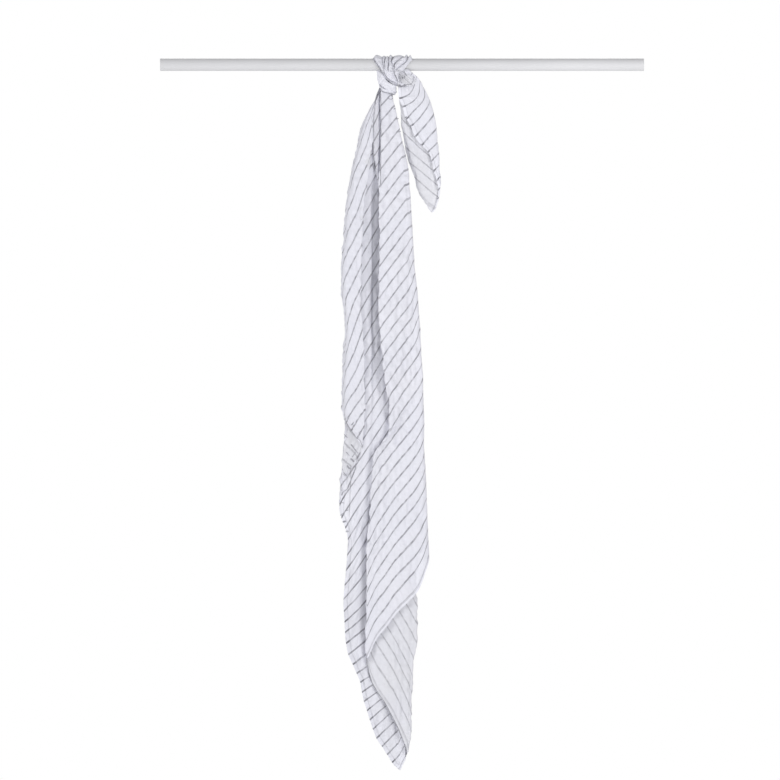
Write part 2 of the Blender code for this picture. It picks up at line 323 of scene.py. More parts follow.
hangSizes = {
    "topDrop": 36.0,
    "rows": 289,  # one more than a multiple of backEvery
    "backEvery": 3,  # the layers behind have every third row
    "backStep": 11.0,  # between their columns
    "rollStep": 4.5,  # between columns round a fold
    "backLayers": 9,  # folds behind the left outline, and one less behind the right one
    "rollShares": (0.12, 0.88),  # the first and last column round a fold
    "widthAt": 400,  # the drop at which the width between two lines is taken
    "roundOutline": (-38, 24),  # how much cloth goes round the left and the right outline
    "fineCrinkle": 0.62,
    "broadCrinkle": 0.75,
}
# Drop, how much of its full depth the bundle of layers has, how far behind the rod's axis it sits.
bundle = ((36, .34, -3), (50, .39, -4), (105, .53, -6), (185, .74, -8), (300, .94, -12),
          (410, 1, -14), (700, 1, -4), (960, .9, 8), (1140, .7, 12))
# Fold lines across the cloth, from the corner hem on the left to the one on the right.
# Each: depth of the layers that meet there, its path (drop, across), and the cloth on it
# (drop, along, over). Where a line has a lean, over grows by that for a mm across.
frontLines = {
    "leftOutline": dict(columns=16, depths=(36, -20), path=(
        (36, -19), (54, -26), (70, -35.5), (84, -42), (102, -48.5), (117, -51.6), (138, -56.5),
        (162, -63), (186, -67.7), (214, -72.6), (243, -75.8), (283, -77.7), (315, -81.5),
        (349, -82.3), (373, -81), (389, -78.2), (412, -76.3), (464, -77.4), (520, -80.2),
        (546, -80.2), (572, -77.5)),
        cloth=((36, 735, 438), (131, 817, 470), (170, 851, 482), (209, 885, 489), (247, 918, 505),
               (325, 986, 536), (400, 1051, 572), (480, 1120, 606), (538, 1170, 637),
               (572, 1200, 659))),
    "lightEdge": dict(columns=12, depths=(-24, -22.3), path=(
        (36, -20), (49, -25.3), (78, -29.4), (107, -30.8), (131, -31.5), (150, -34), (186, -39.2),
        (215, -43), (244, -45.8), (315, -49), (400, -48.5), (473, -45), (560, -44), (617, -47.3)),
        cloth=((36, 695, 471), (131, 778, 501), (170, 811, 510), (209, 845, 524), (247, 878, 533),
               (325, 946, 568), (440, 1046, 622), (499, 1097, 649), (538, 1131, 669),
               (576, 1164, 692), (617, 1200, 713))),
    "leftInner": dict(columns=90, depths=(-14, -13), path=(
        (36, -18), (50, -23), (105, -43), (185, -62), (300, -75), (410, -72), (540, -75),
        (620, -78), (660, -80), (691, -81)),
        cloth=((36, 645, 449), (49, 656, 454), (80, 681, 456), (105, 701, 461), (146, 735, 470),
               (185, 766, 488), (228, 801, 519), (300, 860, 553), (383, 932, 605),
               (460, 999, 654), (538, 1067, 698), (622, 1140, 736), (691, 1200, 780))),
    "bottomCorner": dict(columns=16, depths=(-6, -6), path=(
        (36, -10), (105, -10), (185, -10), (300, -8), (410, -5), (540, -2), (620, -4), (700, -8),
        (790, -10), (880, -8), (960, -3), (1040, 4), (1139, 13)),
        cloth=((36, 375, 463), (49, 385, 470), (80, 410, 486), (113, 436, 502), (146, 461, 520),
               (171, 481, 539), (191, 496, 556), (228, 524, 575), (300, 580, 620), (383, 643, 668),
               (460, 702, 714), (538, 761, 754), (622, 825, 791), (700, 885, 849), (790, 954, 913),
               (863, 1010, 964), (950, 1085, 1038), (1040, 1156, 1115), (1139, 1200, 1200))),
    "rightInner": dict(columns=38, depths=(-9, -14), path=(
        (36, -4), (50, -2), (105, 6), (185, 20), (300, 26), (410, 34), (540, 40), (620, 41),
        (790, 41), (889, 40), (935, 38.7), (968, 35.5), (1014, 33.2), (1059, 31), (1093, 29.8),
        (1115, 24.2)),
        cloth=((36, 298, 581), (863, 950, 1061), (1115, 1160, 1200))),
    "frontEdge": dict(columns=60, depths=(-22, -29), lean=.776, path=(
        (36, -17), (52, -19), (107, -17.7), (138, -19), (170, -20.3), (300, -20.4), (412, -20.4),
        (440, -19), (468, -16.5), (510, -10.6), (541, -6.8), (572, -4.2), (593, -4.2), (607, -10),
        (620, -24), (634, -29.5), (661, -32.4), (698, -35.2), (726, -37.1), (763, -38.9),
        (815, -42), (865, -41), (928, -42.5), (960, -40.3)),
        cloth=((36, 264, 645), (105, 318, 689.5), (228, 415, 766), (344, 507, 839), (460, 598, 913),
               (615, 722, 1007), (692, 783, 1057), (770, 845, 1104), (847, 906, 1155),
               (900, 948, 1191), (960, 995, 1217))),
    "rightOutline": dict(columns=9, depths=(-17, 5), lean=.776, path=(
        (36, -6), (54, 0.8), (73, 6.5), (89, 9.7), (105, 13.7), (122, 17), (138, 21), (159, 25.8),
        (175, 28.2), (193, 29), (209, 30.6), (264, 33.9), (320, 37.6), (359, 41.5), (412, 45.8),
        (451, 47.1), (494, 51), (541, 52.3), (593, 53.6), (643, 54.8), (681, 57.4), (735, 59.2),
        (775, 61.8), (789, 62.6)),
        cloth=((36, 248, 653), (54, 261, 664.5), (105, 298, 699), (200, 367, 760), (300, 440, 825),
               (383, 500, 879), (460, 556, 932), (538, 613, 981), (615, 668, 1032),
               (692, 724, 1081), (744, 762, 1109), (770, 781, 1130), (789, 795, 1147))),
}
leftHem = dict(depths=(62, 62),
               path=((36, -14), (105, -30), (185, -40), (300, -46), (446, -42)),
               cloth=((36, 795, 0), (446, 1200, 0)))
rightHem = dict(depths=(30, 30),
                path=((36, -4), (50, 0), (105, 10), (185, 22), (410, 26), (540, 22), (665, 20)),
                cloth=((36, 0, 630), (665, 0, 1200)))
# The folds behind an outline swing between left and right: drops, then places there, nearest the
# outline and nearest the hem.
backSwing = {
    "drops": (36, 105, 185, 300, 410, 540, 700),
    "left": ((-19, -45, -61, -74, -70, -69, -68), (-16, -34, -46, -54, -50, -47, -46)),
    "right": ((0, 8, 23, 31, 40, 45, 46), (-4, 2, 14, 20, 24, 26, 28)),
    "shorter": 12,  # how much higher a fold on the right ends, at the outline
    "straight": 40,  # this far above its end a fold runs straight
}
# The cloth behind the right outline, at its top and at its end: drop, along, over.
behindRight = ((36, 248, 681), (789, 795, 1200))


# Folds behind an outline: they swing left and right, less so towards the hem.
def backLines(count, outline, hem, fromHem):
    swing = backSwing
    made = []
    outer = outline["depths"][0 if fromHem else 1]
    reach = hem["depths"][0] - outer
    half = abs(reach) / (count + 1) / 2 * (-1 if fromHem else 1)
    for i in range(count):
        t = (i + 1) / (count + 1)
        side = "left" if (i + fromHem) % 2 == 0 else "right"
        near, far = np.array(swing[side], float)
        across = near + (far - near) * t
        shorter = swing["shorter"] * (side == "right") * (1 - t)
        end = outline["path"][-1][0] * (1 - t) + hem["path"][-1][0] * t - shorter
        depth = outer + reach * t
        path = [(d, a) for d, a in zip(swing["drops"], across) if d < end - swing["straight"]]
        start, last = (np.array(outline["cloth"][k]) * (1 - t) + np.array(hem["cloth"][k]) * t
                       for k in (0, -1))
        made.append(dict(depths=(depth - half, depth + half), path=(*path, (end, across[-2])),
                         cloth=((hangSizes["topDrop"], *start[1:]), (end, *last[1:]))))
    return made[::-1] if fromHem else made


def hangingCloth():
    sizes = hangSizes
    front = list(frontLines.values())
    left = backLines(sizes["backLayers"], front[0], leftHem, True)
    right = backLines(sizes["backLayers"] - 1, dict(front[-1], cloth=behindRight), rightHem, False)
    lines = [leftHem, *left, *front, *right, rightHem]
    shown = range(len(left) + 1, len(left) + len(front))
    columns = []  # line, next line, share between them, depth
    for i, line in enumerate(lines):
        before, after = line["depths"]
        if before != after:
            count = max(2, round(abs(after - before) / sizes["rollStep"]))
            columns += [(i, i, 0.0, before + (after - before) * s)
                        for s in np.linspace(*sizes["rollShares"], count)]
        else:
            columns.append((i, i, 0.0, after))
        if i + 1 < len(lines):
            ahead = lines[i + 1]
            at = sizes["widthAt"]
            width = abs(float(smoothCurve(ahead["path"], at) - smoothCurve(line["path"], at)))
            count = line["columns"] if i in shown else max(5, round(width / sizes["backStep"]))
            shares = (np.arange(count) + 0.5) / count
            columns += [(i, i + 1, s, after + (ahead["depths"][0] - after) * s) for s in shares]
    first, second, share, depth = (np.array(v) for v in zip(*columns))
    down = np.linspace(0, 1, sizes["rows"])[:, None]

    # Drop, across and flat place of one line at every row.
    def alongLine(line):
        drop = sizes["topDrop"] + (line["path"][-1][0] - sizes["topDrop"]) * down[:, 0]
        across = smoothCurve(line["path"], drop)
        over = smoothCurve(line["cloth"], drop, 2)
        over = over + line.get("lean", 0) * (across - line["path"][0][1])
        return np.stack([across, drop, smoothCurve(line["cloth"], drop, 1), over], -1)

    # Round an outline the cloth goes on, so what lies behind it is further along the cloth.
    known = np.stack([alongLine(line) for line in lines])
    before, after = known.copy(), known.copy()
    outlines = (("leftOutline", before), ("rightOutline", after))
    for (name, stack), step in zip(outlines, sizes["roundOutline"]):
        i = lines.index(frontLines[name])
        stack[i, :, 2] -= step
        stack[i, :, 3] += step
    near, far = np.array([lines[i]["depths"] for i in first], float).T
    turn = np.clip((depth - near) / np.where(far == near, 1, far - near), 0, 1)
    same = first == second
    rolled = same[:, None, None]
    start = np.where(rolled, before[first], after[first])
    end = np.where(rolled, after[first], before[second])
    mixed = start + (end - start) * np.where(same, turn, share)[:, None, None]
    share = np.where(same, 0, share)
    across, drop, along, over = np.moveaxis(mixed, 0, 1).transpose(2, 0, 1)
    return lines, first, second, share, depth, down, across, drop, along, over


# How the front is shaped. Two drops in an ease call are where something sets in, or where
# it fades out if the first is the greater.
frontShape = {
    "hemPull": {"leftInner": 5, "rightInner": 3, "frontEdge": 3},  # power of the way down
    "seenLeft": (130, 165),  # where valleyCloth holds left of the strip
    "seenRight": (191, 197),
    "turnShare": 0.22,  # the last part of the broad panel turns round its outline
    "turnOut": 0.65,
    "flatter": 0.45,  # less growth of over past the ridge
    "steeper": 0.8,  # more growth of over up to the ridge
    "steeperWide": 9,
    "ridge": (1.4, 2.2),  # height, width
    "tiltFade": 25,  # from the hem
    "wave": (2.4, 90, 540, 300),  # depth, length across and down, drop at which it is full
    "flapReach": 34,  # how far left the panel goes on below the end of the light edge
    "valley": (15, 2.5),  # width, step
    "stripDepth": -24.5,
    "grooveDepth": 9,  # along the broad panel's left edge, and of the cloth behind it
    "outline": (8, 24),  # columns rounded off on each side, passes
}


def buildHang():
    sizes, shape = hangSizes, frontShape
    lines, first, second, share, depth, down, across, drop, along, over = hangingCloth()
    names = {key: lines.index(value) for key, value in frontLines.items()}

    # The lower hems are not straight between two folds: move them, most at the hem itself.
    for start, table in lowerHems.items():
        inside = (first == names[start]) & (second != first)
        s = share[inside]
        pull = down ** shape["hemPull"][start]
        right = pull * (smoothCurve(table, s, 1) - across[-1, inside])
        low = pull * (smoothCurve(table, s, 2) - drop[-1, inside])
        across[:, inside] += right
        drop[:, inside] += low

    # Left of the valley the cloth's places are those that show from the front.
    inside = (first == names["leftInner"]) & (second != first)
    hem = [(row[1], row[2]) for row in lowerHems["leftInner"]]
    a, d = across[:, inside], drop[:, inside]
    seen = np.where(a < np.interp(d, *zip(*stripEdge)) - 0.6,
                    ease(*shape["seenLeft"], d), ease(*shape["seenRight"], d))
    from45 = smoothCurve(valleyCloth, d) + smoothCurve(valleyCloth, d, 2) * (a + 45)
    over[:, inside] += (from45 - over[:, inside]) * seen
    along[:, inside] += (clothSide - awayFrom(hem, a, d) - along[:, inside]) * seen

    turning = (first == names["frontEdge"]) & (second != first)
    last = shape["turnShare"]
    away = np.clip((share - (1 - last)) / last, 0, 1)
    rightEdge = smoothCurve(frontLines["frontEdge"]["path"], drop)
    width = smoothCurve(frontLines["rightOutline"]["path"], drop) - rightEdge
    across += turning * last * shape["turnOut"] * away ** 2 * (1 - away) * width * ease(1, 0.9, down)

    # Outside a soft ridge near the right outline the stripes run flatter.
    ridge = np.interp(drop, *zip(*rightRidge))
    window = ease(105, 140, drop) * ease(345, 290, drop) * turning
    over = over - shape["flatter"] * np.clip(across - ridge, 0, None) * window
    # Lower down they run steeper up to it.
    lower = ease(270, 300, drop) * ease(470, 420, drop) * turning
    wide = shape["steeperWide"]
    over = over + shape["steeper"] * np.clip(across - ridge + wide, 0, wide) * lower
    # Above the lower hem at the right they run straight on, and follow the hem only close to it.
    tilt = np.interp(drop, *zip(*lowerTilt)) * turning
    over = over + tilt * (across - 4) * ease(0, shape["tiltFade"], clothSide - over)

    full, behind = (np.interp(drop, *zip(*[(row[0], row[k]) for row in bundle])) for k in (1, 2))
    high, acrossLong, downLong, fullAt = shape["wave"]
    wave = high * np.sin(2 * math.pi * (across / acrossLong + drop / downLong)) * np.clip(
        drop / fullAt, 0, 1)
    depths = depth * full + behind + wave

    # The fold beside the valley: the panel stands forward to a sharp edge, and falls away past it.
    panel = ((first == names["leftInner"]) & (second == names["bottomCorner"])) | (
        (first == names["bottomCorner"]) & (second != names["rightInner"]))
    behindEdge = smoothCurve(frontLines["lightEdge"]["path"], drop)
    behindEdge = behindEdge - shape["flapReach"] * ease(617, 691, drop)
    valleyWide, step = shape["valley"]
    crease, sharp, near, middle, far, holds = (smoothCurve(valleyEdge, drop, k) for k in range(1, 7))
    inPanel = ease(behindEdge - 6, behindEdge - 1.5, across) * panel
    past = np.clip((across - crease) / valleyWide, 0, 1)
    before = np.clip((across - behindEdge) / np.maximum(crease - behindEdge, 4), 0, 1)
    target = near + (middle - near) * before + (far - middle) * past
    target = target + step * sharp * ease(crease - 0.6, crease + 1.0, across)
    edge = np.interp(drop, *zip(*stripEdge))
    strip = ease(edge - 0.7, edge + 0.7, across) * ease(206, 196, drop)
    target = target + (shape["stripDepth"] - target) * strip
    deep = shape["grooveDepth"]
    groove = np.exp(-((across - rightEdge + 0.5) / 1.5) ** 2)
    target = target + deep * groove * ease(200, 150, drop)
    target = target + deep * ease(rightEdge + 1, rightEdge + 7, across) * ease(820, 740, drop)
    fade = holds * inPanel
    high, wide = shape["ridge"]
    depths -= high * np.exp(-((across - ridge) / wide) ** 2) * window
    depths += ((target * full + behind + wave) - depths) * fade

    # Round off the outlines, then every fold.
    points = np.stack([across, depths, drop], -1)
    station = np.arange(len(first))
    outer, (reach, passes) = np.zeros(len(first)), shape["outline"]
    for key, corner in (("leftOutline", -1), ("rightOutline", 0)):
        roll = station[(first == names[key]) & (second == first)]
        outer += np.clip(1 - np.abs(station - roll[corner]) / reach, 0, 1)
    outer = np.clip(outer, 0, 1)
    points = blur(points, passes, outer[:, None])
    points = roundFolds(points, 2)

    # Broad waves and fine crinkles: none where the cloth leaves the knot, fewer in the outlines.
    normal = normals(place(*np.moveaxis(points, -1, 0)))
    calm = ease(36, 120, drop) * (1 - 0.75 * outer) * (1 - 0.4 * fade)
    fine = ripples(along, over, 9, 24, 5, 24)
    broad = ripples(along * 0.6, over, 40, 110, 8, 12)
    shown = np.where(np.isin(first, list(names.values())), 1, 0.6)
    lift = sizes["fineCrinkle"] * fine * calm + sizes["broadCrinkle"] * broad * calm * shown
    grid = place(*np.moveaxis(points, -1, 0)) + normal * (lift / 1000)[..., None]
    flat = flatPlace(along, over)

    # The layers behind share their last column with the front, at every third row.
    start, stop = station[first == names["leftOutline"]][0], station[first == names["rightOutline"]]
    stop = stop[second[stop] == names["rightOutline"]][-1]
    every = sizes["backEvery"]
    rows = np.arange(sizes["rows"])
    for column in (start, stop):
        for k in range(3):
            grid[:, column, k] = np.interp(rows, rows[::every], grid[::every, column, k])
    return [(grid[:, start:stop + 1], flat[:, start:stop + 1]),
            (grid[::every, :start + 1], flat[::every, :start + 1]),
            (grid[::every, stop:], flat[::every, stop:])]


# The lower hem of a layer where it isn't straight from fold to fold: share, across, drop.
lowerHems = {
    "leftInner": (
        (0, -81, 691), (.057, -85, 720), (.088, -76, 744), (.129, -71, 767), (.219, -75, 833),
        (.285, -78.5, 862), (.358, -76.5, 901), (.469, -71, 949), (.538, -62, 970),
        (.578, -51.6, 994), (.618, -48.4, 1014), (.706, -39, 1046), (.779, -30, 1073),
        (.827, -23.4, 1089), (.871, -14.5, 1102), (.913, -5.2, 1118), (.962, 3.9, 1131),
        (1, 13, 1139)),
    "rightInner": ((0, 24.2, 1115), (.18, 22, 1099), (.35, 11.3, 1074), (.5, 3.2, 1055),
                   (.68, -9.7, 1033), (.85, -26.3, 1007), (.95, -36.5, 980), (1, -40.3, 960)),
    "frontEdge": ((0, -40.3, 960), (.12, -27.4, 930), (.31, -8.4, 905), (.44, 5.6, 886),
                  (.64, 25.5, 866), (.83, 45.2, 841), (.93, 56, 812), (1, 62.6, 789)),
}
# A soft ridge down the broad panel near its right outline: drop, across.
rightRidge = ((36, 4), (105, 10), (125, 13.7), (171, 18.5), (223, 22.6), (259, 27.4), (283, 32.3),
              (340, 35), (412, 42), (1139, 60))
# How much more over grows a mm across in the lowest part of the broad panel: drop, growth.
lowerTilt = ((690, 0), (735, .085), (770, .11), (800, .14), (823, .185), (850, .19), (960, .19))
# The left edge of the narrow strip above the valley, where it runs out to a point: drop, across.
stripEdge = ((36, -40), (90, -34), (120, -31), (149, -29.8), (170, -27), (185, -23.5), (200, -20.4),
             (206, -10))
# The cloth left of the valley: drop, over at 45 mm left of the knot's middle, its growth a mm across.
valleyCloth = (
    (130, 490, 1), (202, 529, 1), (283, 573, 1), (364, 619, 1), (444, 665, 1), (525, 712, 1),
    (605, 763, 1), (686, 817, .95), (767, 870, 1.05), (807, 897, 1), (848, 924, .85),
    (888, 953, .75), (928, 984, .6), (968, 1014, .55), (1040, 1079, .72), (1139, 1156, .75),
)
# The sharp fold beside the valley: drop, across, its step, depths at the light edge, at the fold
# and at the valley's far side, and how much of this holds.
valleyEdge = (
    (36, -28, 0, -13, -18, -26, 1), (70, -28.5, 0, -13, -19, -26, 1),
    (120, -30, 0, -18, -17, -20, 1), (150, -30.6, 0, -20, -14.5, -12, 1),
    (186, -31.5, .8, -20.5, -14, -8, 1), (200, -32.4, 1, -20.5, -14, -8, 1),
    (300, -32.6, 1, -20.5, -13.5, -8, 1), (400, -32.6, 1, -20.5, -13.5, -8, 1),
    (500, -32.6, 1, -20, -15, -12, 1), (560, -32.6, .7, -21, -18, -17, 1),
    (610, -32.6, .3, -21, -19, -20, 1), (640, -33, .1, -22, -19, -20, 1),
    (700, -34, 0, -25, -18, -18, .9), (780, -34, 0, -30, -14, -13, .9),
    (900, -34, 0, -33, -8, -4, .9), (1000, -12, 0, -50, -8, -7, .9),
    (1060, 5, 0, -62, -6, -6, .9), (1139, 13, 0, -45, -6, -6, .9))

mottle = mottleGroup()
muslin = muslinMaterial(mottle)
hangGrids = buildHang()

tailSizes = {"rows": 210, "step": 1.15, "depths": (-14, -9, -3, 3)}
# drop, places of the five lines (front hem, right fold, left fold, inner fold, back hem), and the
# cloth: over on the front hem, along and over on the right fold, along and over on the left fold
tailTable = (
    (8, 12, 23.5, 8, 24, 12, 227, 60, 226, 150, 154),
    (14, 10.5, 34, 9, 30, 13, 226, 59, 211, 148, 145),
    (24, 10, 44, 10, 38, 14, 222, 57, 184, 140, 131),
    (36, 10, 51, 10, 45, 18, 213.5, 55, 165, 130, 122),
    (54, 11, 59.5, 11, 52, 19, 197.5, 53, 152, 121, 109),
    (68, 16.5, 64.5, 13, 56, 22, 181.5, 51, 140, 115, 98),
    (86, 21.5, 69, 14, 60, 26, 168, 46, 128, 108, 84),
    (99, 29.7, 72, 14.5, 61, 29, 150, 41, 119, 103, 75),
    (116, 36.3, 74.2, 17, 62, 34, 134, 31, 107, 98, 62),
    (129, 46, 75, 19, 63, 38, 119, 28, 97, 92, 53),
    (141, 58, 75.5, 22, 63, 41, 101, 24, 86, 87, 46),
    (155, 63.7, 76.5, 26, 64, 44, 85, 20, 74, 80, 37),
    (172, 67, 77.5, 32, 65, 46, 68, 14, 60, 71, 26),
    (187, 71.8, 77.5, 36, 65, 47, 53, 8, 46, 60, 16),
    (201, 74.2, 77, 40, 66, 49, 38, 4, 34, 48, 7),
    (216, 73.4, 75, 48, 67, 54, 20.5, 2, 18, 32, 3),
    (230, 68.6, 71, 57, 66, 60, 6, 1, 5, 14, 2),
    (238, 64.5, 66.5, 62, 65.2, 63, 0, 0, 1, 3, 1),
)


# Bunched cloth where the free corner leaves the knot: a line (across, drop), how wide, how deep.
rootMarks = (
    (((14, 21), (22, 26), (29, 24)), 7.5, 6.0),
    (((28, 17), (30, 24), (29, 30)), 1.6, 2.4),
    (((8, 36), (12, 33), (16, 36), (21, 36), (25, 32), (31, 32), (34, 27), (35, 19)), 1.5, 2.6),
    (((11, 54), (17, 51), (26, 49)), 1.8, 1.4),
    (((33, 33), (30, 42)), 1.8, 1.6),
)


def buildTail():
    sizes = tailSizes
    drop = np.linspace(tailTable[0][0], tailTable[-1][0], sizes["rows"])
    curves = [smoothCurve(tailTable, drop, i) for i in range(1, 11)]
    lines, (hemOver, rightAlong, rightOver, leftAlong, leftOver) = curves[:5], curves[5:]
    zero = np.zeros_like(drop)
    cloth = [(zero, hemOver), (rightAlong, rightOver), (leftAlong, leftOver),
             (leftAlong * 1.25, leftOver * 0.5), (leftAlong * 1.5, zero)]
    full = np.minimum(np.clip((drop[-1] - drop) / 60, 0.3, 1), np.clip((drop - drop[0]) / 60, 0.4, 1))
    across, depth, along, over = [], [], [], []
    middle = sum(sizes["depths"]) / 4
    for layer, here in enumerate(sizes["depths"]):
        width = abs(float(np.mean(lines[layer + 1] - lines[layer])))
        count = max(10, round(width / sizes["step"]))
        shares = np.linspace(0, 1, count + 2)
        shares = shares if layer == 0 else shares[1:]
        for s in shares:
            behind = here
            if layer and s < 0.12:
                behind = here * 0.75 + sizes["depths"][layer - 1] * 0.25
            if layer < 3 and s > 0.9:
                behind = here * 0.6 + sizes["depths"][layer + 1] * 0.4
            across.append(lines[layer] + (lines[layer + 1] - lines[layer]) * s)
            depth.append(middle + (behind - middle) * full)
            turned = s ** (1 + 1.2 * ease(90, 38, drop)) if layer == 0 else s
            for stack, k, share in ((along, 0, s), (over, 1, turned)):
                stack.append(cloth[layer][k] + (cloth[layer + 1][k] - cloth[layer][k]) * share)
    across, depth, along, over = (np.stack(v, 1) for v in (across, depth, along, over))
    points = roundFolds(np.stack([across, depth, np.broadcast_to(drop[:, None], across.shape)], -1), 3)
    inFront = ease(0.5, 0, np.arange(points.shape[1]) / points.shape[1] * 2 - 0.25)
    for line, wide, deep in rootMarks:
        near = awayFrom(line, points[..., 0], points[..., 2])
        points[..., 1] += deep * np.exp(-(near / wide) ** 2) * inFront
    grid = place(*np.moveaxis(points, -1, 0))
    lift = 0.35 * ripples(along, over, 9, 22, 15, 20) + 0.7 * ripples(along, over, 30, 60, 16, 10)
    grid = grid + normals(grid) * (lift * 0.8 / 1000)[..., None]
    return grid, flatPlace(along, over)


tailGrids = [buildTail()]

# The loop over the rod, from below behind to below in front. Drop, depth, then where the
# creases between its pleats run, from its left edge to its right edge; then how high the pleats
# between the second crease and the last but one stand.
saddleTable = (
    (34, 9, -17, -14, -14, -10, -6, -2, 2, 6, 1),
    (12, 14, -21, -16, -13, -7, -1, 8, 15, 22, 1),
    (0, 15, -27, -19, -13, -6, 1, 12, 21, 30, 1),
    (-10, 11.5, -31, -19, -12, -6, 2, 16, 24, 31.5, 1),
    (-14.8, -2, -31.5, -16.5, -9.5, -5.6, 1.2, 20.5, 26.5, 32.5, 1),
    (-10, -10.5, -32.2, -15.8, -11.3, -5.5, -0.8, 13.7, 24.2, 33, 1.1),
    (-5, -13.5, -29.5, -15.3, -12.6, -5.6, -1.6, 6.5, 22.6, 28.5, 1.1),
    (0.6, -15.5, -25, -14.2, -12.6, -6.1, 0.8, 2.5, 16.1, 24.2, 1.1),
    (7.1, -17, -19, -13.6, -12, -6.9, 0, 3.2, 7.7, 19.4, 1),
    (13.5, -18, -15.2, -12, -9.7, -5.6, -1.1, 0.5, 2.3, 11, 0.35),
    (20, -17.5, -12.6, -9.7, -7.3, -3.2, 1.1, 3.2, 5.2, 11.5, 0.25),
    (26.5, -16.5, -7.3, -3.2, -1.3, 1.6, 4.8, 6.5, 8.4, 12.1, 0.2),
    (32, -13, -0.8, 3, 4.5, 6, 7, 8, 8.8, 10, 0.2),
    (37, -6, 3, 5, 6, 7, 8, 8.5, 9, 9.5, 0.2),
)
knotSizes = {
    "rows": 170,
    "pleatColumns": 18,
    "pleatHeights": (3.2, 2.4, 3.0, 3.2, 3.0, 3.6, 3.4),
    "firstStripe": 486.0,  # over at the left edge, so that a stripe runs in each crease, its grey there partly painted crease shade
}


def buildSaddle():
    sizes = knotSizes
    go, curves = alongTable(saddleTable, sizes["rows"])
    drop, depth, relief = (curves[:, k, None] for k in (0, 1, 10))
    creases = curves[:, 2:10]
    count, each = creases.shape[1] - 1, sizes["pleatColumns"]
    at = np.append(np.arange(count * each) / each, count - 1e-9)
    i, t = at.astype(int), at % 1
    span = creases[:, i + 1] - creases[:, i]
    across = creases[:, i] + span * t
    height = np.array(sizes["pleatHeights"])[i] * np.clip(np.abs(span) / 6, 0.25, 1.1)
    height = height * np.where((i > 0) & (i < count - 1), relief, 1)
    ridge = height * (1 - np.abs(2 * t - 1) ** 1.7)
    share = at / count
    sunk = ease(0, 0.05, share) * ease(1, 0.93, share)
    middle = np.column_stack([depth, drop])
    way = np.gradient(middle, axis=0)
    outward = np.column_stack([-way[:, 1], way[:, 0]])
    outward /= np.linalg.norm(outward, axis=1, keepdims=True)
    outward *= np.sign((outward * (middle - (0, 4))).sum(1, keepdims=True))
    lift = ridge - 2.6 - 3.0 * (1 - sunk) + 0.3 * ripples(share * 90, go[:, None] * 8, 7, 18, 3, 16)
    grid = place(across, depth + outward[:, :1] * lift, drop + outward[:, 1:] * lift)
    # Below the rod the stripes go into the folds, but for one on each side of the middle strand. Stripes
    # set into the creases are partly painted crease shade.
    upper = 16.1 * np.minimum(i + 0.35 * t + 0.65 * t * t * (3 - 2 * t), 6.55)
    lower = np.interp(at, (0, 1, 1.15, 5.85, 6, 7), (0, 16.1, 18.5, 29.5, 32.2, 40.5))
    over = sizes["firstStripe"] + upper + (lower - upper) * ease(9, 12.5, drop)
    flat = np.stack(np.broadcast_arrays(330 + 11 * go[:, None], over), -1)
    return grid, flat


# The band round the bundle: its upper edge (across, depth, drop), its lower edge, its bulge.
wrapTable = (
    (-14, 14, 10, -12, 15, 38, 3.5), (-24, 4, 8, -20, 4, 36, 1.2), (-24, -4, 8.5, -20, -5, 35, 1.0),
    (-16, -13.5, 14, -20, -9, 38, 3.0), (-8.5, -17, 25.5, -14.5, -13, 44.3, 3.2),
    (-0.8, -17.5, 31.2, -6, -14.5, 46.6, 2.8), (5, -14.5, 33.5, 1.3, -12.5, 48, 2.2),
    (6.5, -6, 37, 3.5, -4, 49, 1.6), (3, 8, 38, 2, 8, 48, 3.0), (-14, 14, 10, -12, 15, 38, 3.5),
)
wrapSizes = {
    "rows": 190,
    "columns": 56,
    # Creases along the band: share of the way down it, depth, width.
    "creases": ((0.30, 0.7, 0.05), (0.5, 0.5, 0.05), (0.73, 1.6, 0.045), (0.87, 0.5, 0.03)),
    "firstOver": 504.9,  # at the upper edge
    "overHigh": (10.5, 3.4),  # growth to the lower edge, and how much more in front
}


def buildWrap():
    sizes = wrapSizes
    go, curves = alongTable(wrapTable, sizes["rows"])
    upper, lower, bulge = curves[:, :3], curves[:, 3:6], curves[:, 6:]
    s = np.linspace(0, 1, sizes["columns"])
    points = upper[:, None] + (lower - upper)[:, None] * s[..., None]
    outward = points[..., :2] - np.array([-9.0, 0.0])
    outward /= np.linalg.norm(outward, axis=2, keepdims=True)
    lift = bulge * np.sin(math.pi * s) ** 0.55
    for where, deep, wide in sizes["creases"]:
        bent = where + 0.03 * np.sin(go[:, None] * 1.3 + 9 * where)
        lift = lift - deep * np.exp(-((s - bent) / wide) ** 2) * ease(2, 3, go)[:, None]
    lift = lift - 3 * (ease(0.09, 0, s) + ease(0.93, 1, s))
    points[..., :2] += outward * lift[..., None]
    lift = 0.25 * ripples(go[:, None] * 12, s * 20, 6, 16, 23, 16)
    points[..., :2] += outward * lift[..., None]
    points = points[:, ::-1]
    grid = place(points[..., 0], points[..., 1], points[..., 2])
    high, more = sizes["overHigh"]
    over = sizes["firstOver"] + (high + more * ease(3.2, 4.5, go[:, None])) * s
    flat = np.stack(np.broadcast_arrays(480 + go[:, None] * 12, over), -1)
    return grid, flat[:, ::-1]


knotGrids = [buildSaddle(), buildWrap()]
